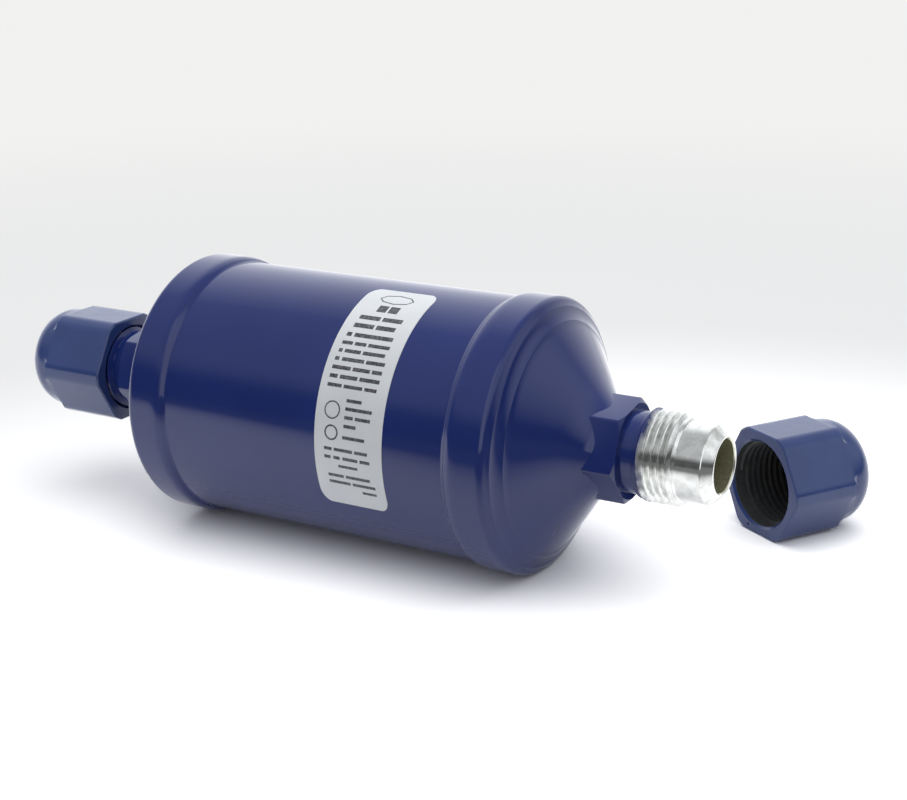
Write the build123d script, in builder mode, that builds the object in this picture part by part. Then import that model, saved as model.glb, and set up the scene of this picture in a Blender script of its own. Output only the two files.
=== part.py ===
"""Liquid line filter drier: a welded steel shell with flare fittings, its filter stack and its two caps.

Millimetres. +X runs along the shell's axis in the direction of flow, from the capped inlet to the open
outlet, and +Z is up. The origin is on the axis, half way between the end cups. The drier lies on its side.
"""

from build123d import *
from math import atan2, cos, radians, sin, tan
import os

# ---------------------------------------------------------------- shell tube and end cups
TUBE_OUTER_R = 32.9
TUBE_WALL = 1.4
LAP_CLEARANCE = 0.05  # radial, between the tube and the cup pressed over it
CUP_WALL = 1.2
LIP_X = 41.4  # from mid length to the open lip of each cup
LAP_LENGTH = 5.8  # of tube inside a cup
SKIRT_LENGTH = 9.8  # straight part of a cup, from its lip
SHOULDER_DEPTH = 2.6  # of the narrow band between the skirt and the dish, along the axis
SHOULDER_DROP = 4.9  # of the same band, towards the axis
SHOULDER_FILLET = 1.5
DISH_LEAN = 35.0  # degrees between the dish and a flat end
NECK_R = 13.2  # flat seat in the middle of the dish
WELD_LEG = 1.2

# ---------------------------------------------------------------- flare fittings, 7/8-14 thread for 5/8 tube
THREAD_MAJOR_R = 11.1125
THREAD_LENGTH = 10.5
THREAD_CHAMFER = 0.8
RELIEF_R = 9.9
RELIEF_LENGTH = 3.3
HEX_ACROSS_FLATS = 22.225
HEX_LENGTH = 9.0
HEX_TURN = 10.0  # degrees, as brazed
HEX_CHAMFER = 0.75
SPIGOT_R = 9.5
SPIGOT_LENGTH = 5.0
SPIGOT_CLEARANCE = 0.05
BORE_R = 6.35
BORE_CHAMFER = 0.4
SEAT_R = 9.5  # unthreaded end before the 45 degree flare seat
SEAT_LENGTH = 6.3
NOSE_RIM = 0.4  # flat ring left round the bore
BRAZE_LEG = 1.2

# ---------------------------------------------------------------- filter stack inside the shell
STACK_CLEARANCE = 0.25  # radial, between the stack and the tube
STACK_SEAT = 0.05  # along the axis, between pieces that lie on each other
PLATE_THICKNESS = 1.2
PLATE_FLANGE = 4.0
HOLE_R = 4.5
HOLE_PITCH = 15.0
HOLE_FIELD_R = 24.0
PAD_THICKNESS = 5.0
SCREEN_THICKNESS = 0.6
OUTLET_PLATE_GAP = 0.1  # between the outlet plate's flange and the cup
SPRING_COIL_R = 20.0
SPRING_WIRE_WIDTH = 2.4
SPRING_WIRE_DEPTH = 1.2
SPRING_TURNS = 2.5
SPRING_LENGTH = 15.0

# ---------------------------------------------------------------- rating label on the tube
LABEL_START_X = 5.3
LABEL_WIDTH = 19.0
LABEL_LOW_ANGLE = -26.0  # from the front, positive upwards
LABEL_ARC = 108.0
LABEL_CORNER_R = 2.6
LABEL_THICKNESS = 0.12

# ---------------------------------------------------------------- screw caps
CAP_ACROSS_FLATS = 27.6
CAP_CORNER_R = 15.1
CAP_HEX_LENGTH = 20.5
CAP_RAMP = 1.7
CAP_BARREL_R = 13.6
CAP_LENGTH = 27.9
CAP_DOME_R = 6.7
CAP_THREAD_CLEARANCE = 0.1
CAP_MOUTH_CHAMFER = 0.6
CAP_TOP_WALL = 3.0
CAP_CORE_R = 7.6
SEAL_FACE_DEPTH = 17.75  # of the seal below the cap's rim
SEAL_THICKNESS = 2.2
SEAL_GROOVE_DEPTH = 0.5
SEAL_RIM_CLEARANCE = 0.05
SEAL_BACK_CLEARANCE = 0.05
NOSE_GAP = 0.1  # between the flare nose and the seal
LOOSE_CAP_X = 88.5
LOOSE_CAP_Y = 44.8
LOOSE_CAP_YAW = 58.4  # degrees from +X, the way its closed end points

# ---------------------------------------------------------------- sizes worked out from the ones above
TUBE_INNER_R = TUBE_OUTER_R - TUBE_WALL
CUP_OUTER_R = TUBE_OUTER_R + LAP_CLEARANCE + CUP_WALL
SKIRT_END_X = LIP_X + SKIRT_LENGTH
DISH_X = SKIRT_END_X + SHOULDER_DEPTH
DISH_R = CUP_OUTER_R - SHOULDER_DROP
SHOULDER_TURN = atan2(SHOULDER_DROP, SHOULDER_DEPTH)  # radians between the band and the axis
DISH_TURN = radians(90 - DISH_LEAN)
NECK_X = DISH_X + (DISH_R - NECK_R) * tan(radians(DISH_LEAN))
TUBE_HALF = LIP_X + LAP_LENGTH

HEX_FRONT_X = NECK_X + HEX_LENGTH
THREAD_START_X = HEX_FRONT_X + RELIEF_LENGTH
THREAD_END_X = THREAD_START_X + THREAD_LENGTH
SEAT_END_X = THREAD_END_X + SEAT_LENGTH
NOSE_R = BORE_R + BORE_CHAMFER + NOSE_RIM
NOSE_X = SEAT_END_X + SEAT_R - NOSE_R
SPIGOT_X = NECK_X - CUP_WALL - SPIGOT_LENGTH

STACK_R = TUBE_INNER_R - STACK_CLEARANCE
FLOOR_Z = -CUP_OUTER_R

CAP_FLAT = CAP_ACROSS_FLATS / 2
CAP_BORE_R = THREAD_MAJOR_R + CAP_THREAD_CLEARANCE
CAP_RIM_X = NOSE_X + NOSE_GAP - SEAL_FACE_DEPTH - SEAL_GROOVE_DEPTH
CAP_SHOULDER_DEPTH = SEAL_FACE_DEPTH + SEAL_THICKNESS + SEAL_BACK_CLEARANCE
SEAL_R = CAP_BORE_R - SEAL_RIM_CLEARANCE


def write(part, name):
    """Labels a finished piece and writes it to its own file."""
    part.label = name
    export_step(part, f"parts/{name}.step")


def dish_inner_x(radius):
    """The x of a cup's inner dish face at a radius."""
    wall_along_axis = CUP_WALL / cos(radians(DISH_LEAN))
    return DISH_X + (DISH_R - radius) * tan(radians(DISH_LEAN)) - wall_along_axis


def shoulder_inner_x(radius):
    """The x of a cup's inner shoulder face at a radius."""
    corner_x, corner_r = wall_corner(SKIRT_END_X, CUP_OUTER_R, 0, SHOULDER_TURN)
    return corner_x + (corner_r - radius) / tan(SHOULDER_TURN)


def wall_corner(x, radius, turn_before, turn_after):
    """The inside corner of a cup's wall behind an outside one where two slopes meet."""
    reach = CUP_WALL / cos((turn_after - turn_before) / 2)
    middle = (turn_before + turn_after) / 2
    return x - reach * sin(middle), radius - reach * cos(middle)


def end_cup():
    """A deep-drawn end cup for the outlet, with its hole for the fitting."""
    hole_r = SPIGOT_R + SPIGOT_CLEARANCE
    with BuildPart() as cup:
        with BuildSketch(Plane.XY):
            with BuildLine():
                FilletPolyline(
                    (LIP_X, CUP_OUTER_R),
                    (SKIRT_END_X, CUP_OUTER_R),
                    (DISH_X, DISH_R),
                    radius=SHOULDER_FILLET,
                )
                Polyline(
                    (DISH_X, DISH_R),
                    (NECK_X, NECK_R),
                    (NECK_X, hole_r),
                    (NECK_X - CUP_WALL, hole_r),
                    wall_corner(NECK_X, NECK_R, DISH_TURN, radians(90)),
                    wall_corner(DISH_X, DISH_R, SHOULDER_TURN, DISH_TURN),
                    wall_corner(SKIRT_END_X, CUP_OUTER_R, 0, SHOULDER_TURN),
                    (LIP_X, CUP_OUTER_R - CUP_WALL),
                    (LIP_X, CUP_OUTER_R),
                )
            make_face()
        revolve(axis=Axis.X)
    return cup.part


def lip_weld():
    """The fillet weld in the corner between the tube and the outlet cup's lip."""
    with BuildPart() as weld:
        with BuildSketch(Plane.XY):
            with BuildLine():
                Polyline(
                    (LIP_X - WELD_LEG, TUBE_OUTER_R),
                    (LIP_X, TUBE_OUTER_R),
                    (LIP_X, TUBE_OUTER_R + WELD_LEG),
                    close=True,
                )
            make_face()
        revolve(axis=Axis.X)
    return weld.part


def flare_fitting():
    """The outlet fitting, turned from hexagon bar, with a plain cylinder for its thread."""
    flat = HEX_ACROSS_FLATS / 2
    corner = flat / cos(radians(30))
    with BuildPart() as fitting:
        with BuildSketch(Plane.YZ.offset(NECK_X)):
            RegularPolygon(flat, 6, major_radius=False, rotation=HEX_TURN)
        extrude(amount=HEX_LENGTH)
        with BuildSketch(Plane.XY):
            with BuildLine():
                Polyline(
                    (NECK_X, 0),
                    (NECK_X, corner),
                    (HEX_FRONT_X - HEX_CHAMFER, corner),
                    (HEX_FRONT_X, corner - HEX_CHAMFER / tan(radians(30))),
                    (HEX_FRONT_X, 0),
                    close=True,
                )
            make_face()
        revolve(axis=Axis.X, mode=Mode.INTERSECT)
        with BuildSketch(Plane.XY):
            with BuildLine():
                Polyline(
                    (SPIGOT_X, 0),
                    (SPIGOT_X, SPIGOT_R),
                    (NECK_X, SPIGOT_R),
                    (NECK_X, RELIEF_R),
                    (THREAD_START_X, RELIEF_R),
                    (THREAD_START_X + THREAD_CHAMFER, THREAD_MAJOR_R),
                    (THREAD_END_X - THREAD_CHAMFER, THREAD_MAJOR_R),
                    (THREAD_END_X, SEAT_R),
                    (SEAT_END_X, SEAT_R),
                    (NOSE_X, NOSE_R),
                    (NOSE_X, 0),
                    close=True,
                )
            make_face()
        revolve(axis=Axis.X)
        with BuildSketch(Plane.XY):
            with BuildLine():
                Polyline(
                    (SPIGOT_X, 0),
                    (SPIGOT_X, BORE_R + BORE_CHAMFER),
                    (SPIGOT_X + BORE_CHAMFER, BORE_R),
                    (NOSE_X - BORE_CHAMFER, BORE_R),
                    (NOSE_X, BORE_R + BORE_CHAMFER),
                    (NOSE_X, 0),
                    close=True,
                )
            make_face()
        revolve(axis=Axis.X, mode=Mode.SUBTRACT)
    return fitting.part


def braze_ring():
    """The ring of braze alloy round the outlet spigot, inside the cup."""
    with BuildPart() as ring:
        with BuildSketch(Plane.XY):
            inner_face_x = NECK_X - CUP_WALL
            with BuildLine():
                Polyline(
                    (inner_face_x, SPIGOT_R),
                    (inner_face_x - BRAZE_LEG, SPIGOT_R),
                    (inner_face_x, SPIGOT_R + BRAZE_LEG),
                    close=True,
                )
            make_face()
        revolve(axis=Axis.X)
    return ring.part


def disc(start_x, thickness, radius):
    """A plain disc of the filter stack."""
    with BuildPart() as body:
        with BuildSketch(Plane.YZ.offset(start_x)):
            Circle(radius)
        extrude(amount=thickness)
    return body.part


def perforated_plate(face_x, flange_x):
    """A pressed plate whose flange runs from face_x to flange_x, with its hole field."""
    outward = 1 if flange_x > face_x else -1
    with BuildPart() as plate:
        with BuildSketch(Plane.XY):
            with BuildLine():
                Polyline(
                    (face_x, 0),
                    (face_x, STACK_R),
                    (flange_x, STACK_R),
                    (flange_x, STACK_R - PLATE_THICKNESS),
                    (face_x + outward * PLATE_THICKNESS, STACK_R - PLATE_THICKNESS),
                    (face_x + outward * PLATE_THICKNESS, 0),
                    close=True,
                )
            make_face()
        revolve(axis=Axis.X)
        with BuildSketch(Plane.YZ.offset(face_x)):
            rings = int(HOLE_FIELD_R // HOLE_PITCH)
            Circle(HOLE_R)
            for ring in range(1, rings + 1):
                with PolarLocations(ring * HOLE_PITCH, 6 * ring):
                    Circle(HOLE_R)
        extrude(amount=outward * PLATE_THICKNESS, mode=Mode.SUBTRACT)
    return plate.part


def label_sheet():
    """The label, cut to its rounded outline and wrapped on the front of the tube."""
    outer = TUBE_OUTER_R + LABEL_THICKNESS
    half_arc = LABEL_ARC / 2
    middle_angle = LABEL_LOW_ANGLE + half_arc
    half_chord = outer * sin(radians(half_arc))
    facing = Plane(
        origin=(LABEL_START_X + LABEL_WIDTH / 2, 0, 0),
        x_dir=(1, 0, 0),
        z_dir=(0, -cos(radians(middle_angle)), sin(radians(middle_angle))),
    )
    with BuildPart() as label:
        with BuildSketch(Plane.YZ.offset(LABEL_START_X)):
            Circle(outer)
            Circle(TUBE_OUTER_R, mode=Mode.SUBTRACT)
        extrude(amount=LABEL_WIDTH)
        with BuildSketch(facing):
            RectangleRounded(LABEL_WIDTH, 2 * half_chord, LABEL_CORNER_R)
        extrude(amount=2 * outer, mode=Mode.INTERSECT)
    return label.part


def screw_cap(seat):
    """A moulded hexagon cap whose open rim lies on the seat plane, closed end along the plane's normal."""
    section = Plane(seat.origin, x_dir=seat.x_dir, z_dir=-seat.y_dir)
    centre_line = Axis(seat.origin, seat.z_dir)
    with BuildPart() as cap:
        with BuildSketch(seat):
            RegularPolygon(CAP_FLAT, 6, major_radius=False)
            Circle(CAP_CORNER_R, mode=Mode.INTERSECT)
        extrude(amount=CAP_HEX_LENGTH)
        with BuildSketch(section):
            with BuildLine():
                Polyline(
                    (0, 0),
                    (CAP_CORNER_R, 0),
                    (CAP_CORNER_R, CAP_HEX_LENGTH - CAP_RAMP),
                    (CAP_BARREL_R, CAP_HEX_LENGTH),
                    (0, CAP_HEX_LENGTH),
                    close=True,
                )
            make_face()
        revolve(axis=centre_line, mode=Mode.INTERSECT)
        with BuildSketch(section):
            with BuildLine():
                Line((0, 0), (CAP_BARREL_R, 0))
                Line((CAP_BARREL_R, 0), (CAP_BARREL_R, CAP_LENGTH - CAP_DOME_R))
                CenterArc((CAP_BARREL_R - CAP_DOME_R, CAP_LENGTH - CAP_DOME_R), CAP_DOME_R, 0, 90)
                Line((CAP_BARREL_R - CAP_DOME_R, CAP_LENGTH), (0, CAP_LENGTH))
                Line((0, CAP_LENGTH), (0, 0))
            make_face()
        revolve(axis=centre_line)
        with BuildSketch(section):
            with BuildLine():
                Polyline(
                    (0, 0),
                    (CAP_BORE_R + CAP_MOUTH_CHAMFER, 0),
                    (CAP_BORE_R, CAP_MOUTH_CHAMFER),
                    (CAP_BORE_R, CAP_SHOULDER_DEPTH),
                    (CAP_CORE_R, CAP_SHOULDER_DEPTH),
                    (CAP_CORE_R, CAP_LENGTH - CAP_TOP_WALL),
                    (0, CAP_LENGTH - CAP_TOP_WALL),
                    close=True,
                )
            make_face()
        revolve(axis=centre_line, mode=Mode.SUBTRACT)
    return cap.part


def cap_seal(seat):
    """The rubber disc in a cap, with the ring pressed in it that the flare nose bears on."""
    section = Plane(seat.origin, x_dir=seat.x_dir, z_dir=-seat.y_dir)
    with BuildPart() as seal:
        with BuildSketch(section):
            with Locations((SEAL_R / 2, SEAL_FACE_DEPTH + SEAL_THICKNESS / 2)):
                Rectangle(SEAL_R, SEAL_THICKNESS)
            groove_low = BORE_R - NOSE_RIM
            groove_high = NOSE_R + NOSE_RIM + SEAL_GROOVE_DEPTH
            with BuildLine():
                Polyline(
                    (groove_low, SEAL_FACE_DEPTH),
                    (groove_low, SEAL_FACE_DEPTH + SEAL_GROOVE_DEPTH),
                    (groove_high, SEAL_FACE_DEPTH + SEAL_GROOVE_DEPTH),
                    (groove_high, SEAL_FACE_DEPTH),
                    close=True,
                )
            make_face(mode=Mode.SUBTRACT)
        revolve(axis=Axis(seat.origin, seat.z_dir))
    return seal.part


def mirrored(part):
    """The inlet's copy of an outlet piece."""
    with BuildPart() as copy:
        mirror(part, about=Plane.YZ)
    return copy.part


os.makedirs("parts", exist_ok=True)

# ---------------------------------------------------------------- shell
with BuildPart() as shell_tube:
    with BuildSketch(Plane.YZ.offset(-TUBE_HALF)):
        Circle(TUBE_OUTER_R)
        Circle(TUBE_INNER_R, mode=Mode.SUBTRACT)
    extrude(amount=2 * TUBE_HALF)
write(shell_tube.part, "shell_tube")

for name, piece in {
    "end_cup": end_cup(),
    "lip_weld": lip_weld(),
    "flare_fitting": flare_fitting(),
    "braze_ring": braze_ring(),
}.items():
    write(piece, f"outlet_{name}")
    write(mirrored(piece), f"inlet_{name}")

write(label_sheet(), "rating_label")

# ---------------------------------------------------------------- filter stack, from the outlet back to the inlet
outlet_flange_x = shoulder_inner_x(STACK_R) - OUTLET_PLATE_GAP
outlet_plate_x = outlet_flange_x - PLATE_FLANGE
write(perforated_plate(outlet_plate_x, outlet_flange_x), "outlet_support_plate")

screen_x = outlet_plate_x - STACK_SEAT - SCREEN_THICKNESS
write(disc(screen_x, SCREEN_THICKNESS, STACK_R), "outlet_mesh_screen")

outlet_pad_x = screen_x - STACK_SEAT - PAD_THICKNESS
write(disc(outlet_pad_x, PAD_THICKNESS, STACK_R), "outlet_filter_pad")

spring_end_x = -dish_inner_x(SPRING_COIL_R + SPRING_WIRE_DEPTH / 2) + STACK_SEAT
inlet_plate_x = spring_end_x + SPRING_LENGTH + STACK_SEAT + PLATE_THICKNESS
write(perforated_plate(inlet_plate_x, inlet_plate_x - PLATE_FLANGE), "inlet_pressure_plate")

inlet_pad_x = inlet_plate_x + STACK_SEAT
write(disc(inlet_pad_x, PAD_THICKNESS, STACK_R), "inlet_filter_pad")

bed_x = inlet_pad_x + PAD_THICKNESS + STACK_SEAT
write(disc(bed_x, outlet_pad_x - STACK_SEAT - bed_x, STACK_R), "desiccant_bed")

with BuildPart() as compression_spring:
    first_turn = (spring_end_x + SPRING_WIRE_WIDTH / 2, 0, 0)
    with BuildLine():
        rise = SPRING_LENGTH - SPRING_WIRE_WIDTH
        coil = Helix(rise / SPRING_TURNS, rise, SPRING_COIL_R, center=first_turn, direction=(1, 0, 0))
    with BuildSketch(Plane(coil @ 0, x_dir=(1, 0, 0), z_dir=coil % 0)):
        Rectangle(SPRING_WIRE_WIDTH, SPRING_WIRE_DEPTH)
    sweep(path=coil, is_frenet=True)
write(compression_spring.part, "compression_spring")

# ---------------------------------------------------------------- caps
inlet_seat = Plane((-CAP_RIM_X, 0, 0), x_dir=(0, 1, 0), z_dir=(-1, 0, 0))
write(screw_cap(inlet_seat), "inlet_cap")
write(cap_seal(inlet_seat), "inlet_cap_seal")

loose_seat = Plane(
    (LOOSE_CAP_X, LOOSE_CAP_Y, FLOOR_Z + CAP_FLAT),
    x_dir=(-sin(radians(LOOSE_CAP_YAW)), cos(radians(LOOSE_CAP_YAW)), 0),
    z_dir=(cos(radians(LOOSE_CAP_YAW)), sin(radians(LOOSE_CAP_YAW)), 0),
)
write(screw_cap(loose_seat), "outlet_cap")
write(cap_seal(loose_seat), "outlet_cap_seal")
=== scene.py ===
"""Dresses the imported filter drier: shell paint, plated threads, moulded caps, label and filter stack.

Metres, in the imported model's own frame. The shell's axis is X and the open outlet is at +X.
"""

import logging
import math
from dataclasses import dataclass
from enum import Enum
from typing import Callable, NamedTuple, Sequence

import bmesh
import bpy
from mathutils import Matrix, Vector


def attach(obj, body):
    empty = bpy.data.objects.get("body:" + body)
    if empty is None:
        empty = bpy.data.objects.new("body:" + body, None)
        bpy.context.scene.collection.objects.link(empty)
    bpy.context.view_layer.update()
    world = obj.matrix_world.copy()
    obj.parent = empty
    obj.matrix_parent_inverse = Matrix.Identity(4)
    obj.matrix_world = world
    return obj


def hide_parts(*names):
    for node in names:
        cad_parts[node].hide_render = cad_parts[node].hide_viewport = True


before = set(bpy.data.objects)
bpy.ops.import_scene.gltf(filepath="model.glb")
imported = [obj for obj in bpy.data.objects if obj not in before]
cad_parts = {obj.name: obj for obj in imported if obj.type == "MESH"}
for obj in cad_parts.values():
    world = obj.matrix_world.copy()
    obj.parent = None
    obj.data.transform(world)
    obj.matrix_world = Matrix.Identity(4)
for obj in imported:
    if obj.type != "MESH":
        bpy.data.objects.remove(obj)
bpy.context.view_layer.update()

MM = 0.001
WELD_GAP = 0.0005 * MM
TIP_RADIUS = 0.0001 * MM
SMOOTH_ANGLE = math.radians(32)
TURN_STEPS = 144
RING_GAP = 0.004 * MM
CUT_GAP = 0.002 * MM
SUPPORT = 0.6 * MM
UNSUPPORTED = 5 * MM
OVERLAP = 2 * MM
HEX_SLOPE = math.radians(30)
PITCH = 25.4 / 14 * MM
FLOOR_Z = -34.15 * MM
LOOSE_AT = (88.5 * MM, 44.8 * MM, FLOOR_Z + 13.8 * MM)
LOOSE_YAW = math.radians(58.4)
OVERSPRAY_EDGE = 81.5 * MM
LOG = logging.getLogger("filter_drier")

Pair = tuple[float, float]
Station = Pair
Triple = tuple[float, float, float]
Piece = bpy.types.Object
Finish = bpy.types.Material
Socket = bpy.types.NodeSocket


class End(Enum):
    """Which end of the shell a piece belongs to, by the sign of its x."""

    OUTLET = 1
    INLET = -1

    @property
    def word(self) -> str:
        """The end's name as the nodes use it."""
        return self.name.lower()


# ---------------------------------------------------------------- bench: modelling by hand
def start_fresh() -> None:
    """Leave edit mode and select nothing."""
    if bpy.context.mode != "OBJECT":
        bpy.ops.object.mode_set(mode="OBJECT")
    bpy.ops.object.select_all(action="DESELECT")


def take(obj: Piece) -> None:
    """Make one object the only selected and active one."""
    start_fresh()
    obj.select_set(True)
    bpy.context.view_layer.objects.active = obj


def settle(obj: Piece) -> Piece:
    """Put an object's place, turn and size into its mesh.

    Args:
        obj: The object, which ends at the origin, unturned and unscaled.

    Returns:
        The same object.
    """
    take(obj)
    bpy.ops.object.transform_apply(location=True, rotation=True, scale=True)
    return obj


def name_it(obj: Piece, name: str) -> Piece:
    """Name an object and its mesh alike.

    Args:
        obj: The object.
        name: The name.

    Returns:
        The same object.
    """
    obj.name = name
    obj.data.name = name
    return obj


def edit(obj: Piece, mode: str = "VERT", action: str = "SELECT") -> bmesh.types.BMesh:
    """Open one object's mesh in edit mode.

    Args:
        obj: The object to edit.
        mode: VERT, EDGE or FACE selection.
        action: SELECT for all of it, or DESELECT for none.

    Returns:
        The mesh being edited.
    """
    take(obj)
    bpy.ops.object.mode_set(mode="EDIT")
    bpy.ops.mesh.select_mode(type=mode)
    bpy.ops.mesh.select_all(action=action)
    return bmesh.from_edit_mesh(obj.data)


def select_only(obj: Piece, wanted: Callable[[bmesh.types.BMEdge], bool]) -> None:
    """Open a mesh in edit mode with just the edges that pass a test selected.

    Args:
        obj: The object to edit.
        wanted: The test, given each edge.
    """
    mesh = edit(obj, "EDGE", "DESELECT")
    for edge in mesh.edges:
        edge.select = wanted(edge)
    bmesh.update_edit_mesh(obj.data)


def close_up(obj: Piece) -> None:
    """Merge doubled points, turn the faces outward and leave edit mode.

    Args:
        obj: The mesh, which is closed.
    """
    edit(obj)
    bpy.ops.mesh.remove_doubles(threshold=WELD_GAP)
    bpy.ops.mesh.normals_make_consistent(inside=False)
    start_fresh()


def apply_modifiers(obj: Piece) -> None:
    """Apply every modifier of one object, in order.

    Args:
        obj: The object.
    """
    take(obj)
    for modifier in list(obj.modifiers):
        bpy.ops.object.modifier_apply(modifier=modifier.name)


def shade(obj: Piece, angle: float = SMOOTH_ANGLE) -> None:
    """Shade smooth, with edges sharper than an angle kept crisp."""
    take(obj)
    bpy.ops.object.shade_smooth_by_angle(angle=angle)


def ring(
    name: str, x: float, radius: float, points: int, phase: float = 0.0, fill: str = "NOTHING"
) -> Piece:
    """Add a circle round the X axis.

    Args:
        name: The object's name.
        x: Where its plane stands.
        radius: Its radius.
        points: How many points it has.
        phase: The first point's angle, from +Y towards +Z.
        fill: NOTHING for an open ring, or NGON for a face.

    Returns:
        The new object, at the origin.
    """
    start_fresh()
    bpy.ops.mesh.primitive_circle_add(
        vertices=points,
        radius=radius,
        fill_type=fill,
        location=(x, 0, 0),
        rotation=(0, math.pi / 2, 0),
    )
    obj = name_it(bpy.context.object, name)
    settle(obj)
    obj.rotation_euler.x = phase
    return settle(obj)


def swell(scale: float) -> None:
    """Scale what is selected about the X axis."""
    bpy.ops.transform.resize(value=(1, scale, scale), center_override=(0, 0, 0))


def extrude(dx: float, scale: float = 1.0) -> None:
    """Extrude what is selected along the X axis and scale it about that axis.

    Args:
        dx: How far along the axis.
        scale: The new size by the old one.
    """
    bpy.ops.mesh.extrude_region_move(TRANSFORM_OT_translate={"value": (dx, 0, 0)})
    if scale != 1.0:
        swell(scale)


def draw_out(stations: Sequence[Station]) -> None:
    """Extrude the selected ring through stations of x and radius, the first being where it is.

    Args:
        stations: The profile, as x and radius.
    """
    for (x0, r0), (x1, r1) in zip(stations, stations[1:]):
        extrude(x1 - x0, r1 / r0 if abs(r1 - r0) > WELD_GAP else 1.0)


def supported(stations: Sequence[Station], margin: float) -> list[Station]:
    """Add a ring beside each corner of a profile, so that rounding it leaves the long faces true.

    Args:
        stations: The profile's corners.
        margin: How far from a corner the extra ring stands.

    Returns:
        The longer list of stations.
    """
    out = [stations[0]]
    for (x0, r0), (x1, r1) in zip(stations, stations[1:]):
        length = math.hypot(x1 - x0, r1 - r0)
        if length > 3 * margin and min(r0, r1) > 0:
            for share in (margin / length, 1 - margin / length):
                out.append((x0 + (x1 - x0) * share, r0 + (r1 - r0) * share))
        out.append((x1, r1))
    return out


def soften_rings(obj: Piece, rings: Sequence[Triple], segments: int = 4) -> None:
    """Round the turned corners of a piece.

    Args:
        obj: The turned piece.
        rings: The x, radius and bevel width of each corner.
        segments: How many faces each rounding has.
    """
    for x, radius, width in rings:
        select_only(
            obj,
            lambda edge: all(
                abs(v.co.x - x) < RING_GAP and abs(math.hypot(v.co.y, v.co.z) - radius) < RING_GAP
                for v in edge.verts
            ),
        )
        bpy.ops.mesh.bevel(offset=width, segments=segments, affect="EDGES", profile=0.5)
    start_fresh()


def turned(
    name: str,
    stations: Sequence[Station],
    rounds: Sequence[Triple] = (),
    margin: float = SUPPORT,
    points: int = TURN_STEPS,
    segments: int = 4,
) -> Piece:
    """Turn a closed profile round the X axis.

    Args:
        name: The piece's name.
        stations: The profile's corners as x and radius. One that is clear of the axis closes on itself.
        rounds: The x, radius and width of each corner to round.
        margin: How far from each corner a supporting ring stands.
        points: How many points each ring has.
        segments: How many faces each rounding has.

    Returns:
        The new piece.
    """
    closed = list(stations)
    if closed[0][1] > 0 and closed[-1][1] > 0:
        closed.append(closed[0])
    path = [(x, max(radius, TIP_RADIUS)) for x, radius in supported(closed, margin)]
    obj = ring(name, path[0][0], path[0][1], points)
    edit(obj)
    draw_out(path)
    close_up(obj)
    soften_rings(obj, rounds, segments)
    shade(obj)
    return obj


def rod(name: str, first: float, last: float, radius: float, margin: float = UNSUPPORTED) -> Piece:
    """Turn a plain rod between two places on the axis."""
    return turned(name, [(first, 0), (first, radius), (last, radius), (last, 0)], margin=margin)


def combine(target: Piece, tool: Piece, operation: str) -> Piece:
    """Cut, cross or add one closed mesh with another, which is then gone.

    Args:
        target: The mesh that stays.
        tool: The mesh that is used up.
        operation: DIFFERENCE, INTERSECT or UNION.

    Returns:
        The changed target.
    """
    modifier = target.modifiers.new("combine", "BOOLEAN")
    modifier.operation = operation
    modifier.solver = "EXACT"
    modifier.object = tool
    apply_modifiers(target)
    bpy.data.objects.remove(tool)
    return target


def join(name: str, pieces: Sequence[Piece]) -> Piece:
    """Join several meshes into one object.

    Args:
        name: The joined piece's name.
        pieces: The meshes.

    Returns:
        The joined piece.
    """
    take(pieces[0])
    for piece in pieces[1:]:
        piece.select_set(True)
    bpy.ops.object.join()
    return name_it(bpy.context.object, name)


def helix(name: str, profile: Sequence[Station], turns: int, steps: int, closed: bool) -> Piece:
    """Sweep a profile along the right-hand screw of the thread, round the X axis.

    Args:
        name: The piece's name.
        profile: Points of x and radius, starting at +Y.
        turns: How many whole turns.
        steps: How many steps in each turn.
        closed: Whether the profile's last point joins its first.

    Returns:
        The swept piece.
    """
    start_fresh()
    x0, r0 = profile[0]
    bpy.ops.mesh.primitive_plane_add(size=MM, location=(x0, r0, 0))
    obj = name_it(bpy.context.object, name)
    settle(obj)
    edit(obj)
    bpy.ops.mesh.merge(type="CENTER")
    for (xa, ra), (xb, rb) in zip(profile, profile[1:]):
        bpy.ops.mesh.extrude_vertices_move(TRANSFORM_OT_translate={"value": (xb - xa, rb - ra, 0)})
    if closed:
        mesh = edit(obj, action="DESELECT")
        for vertex in mesh.verts:
            vertex.select = len(vertex.link_edges) == 1
        bmesh.update_edit_mesh(obj.data)
        bpy.ops.mesh.edge_face_add()
    screw = obj.modifiers.new("screw", "SCREW")
    screw.axis = "X"
    screw.angle = 2 * math.pi
    screw.screw_offset = PITCH
    screw.iterations = turns
    screw.steps = screw.render_steps = steps
    screw.use_merge_vertices = not closed
    screw.merge_threshold = WELD_GAP
    screw.use_smooth_shade = True
    apply_modifiers(obj)
    if not runs_right_handed(obj, profile[0], steps):
        obj.scale.z = -1
        settle(obj)
    return obj


def runs_right_handed(obj: Piece, start: Station, steps: int) -> bool:
    """Whether a swept screw's first step goes from +Y towards +Z as it goes along +X.

    Args:
        obj: The swept screw.
        start: Where its profile starts.
        steps: The steps in one turn.

    Returns:
        True for a right-hand screw.
    """
    x, radius = start
    angle = 2 * math.pi / steps
    want = Vector((x + PITCH / steps, radius * math.cos(angle), radius * math.sin(angle)))
    return any((vertex.co - want).length < 2 * RING_GAP for vertex in obj.data.vertices)


def trim(obj: Piece, x: float, keep_below: bool) -> None:
    """Cut a mesh across at x and drop one side.

    Args:
        obj: The mesh.
        x: Where the cut stands.
        keep_below: Whether the side below x stays.
    """
    edit(obj)
    bpy.ops.mesh.bisect(
        plane_co=(x, 0, 0),
        plane_no=(1, 0, 0),
        threshold=WELD_GAP / 5,
        clear_outer=keep_below,
        clear_inner=not keep_below,
    )
    start_fresh()


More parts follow.
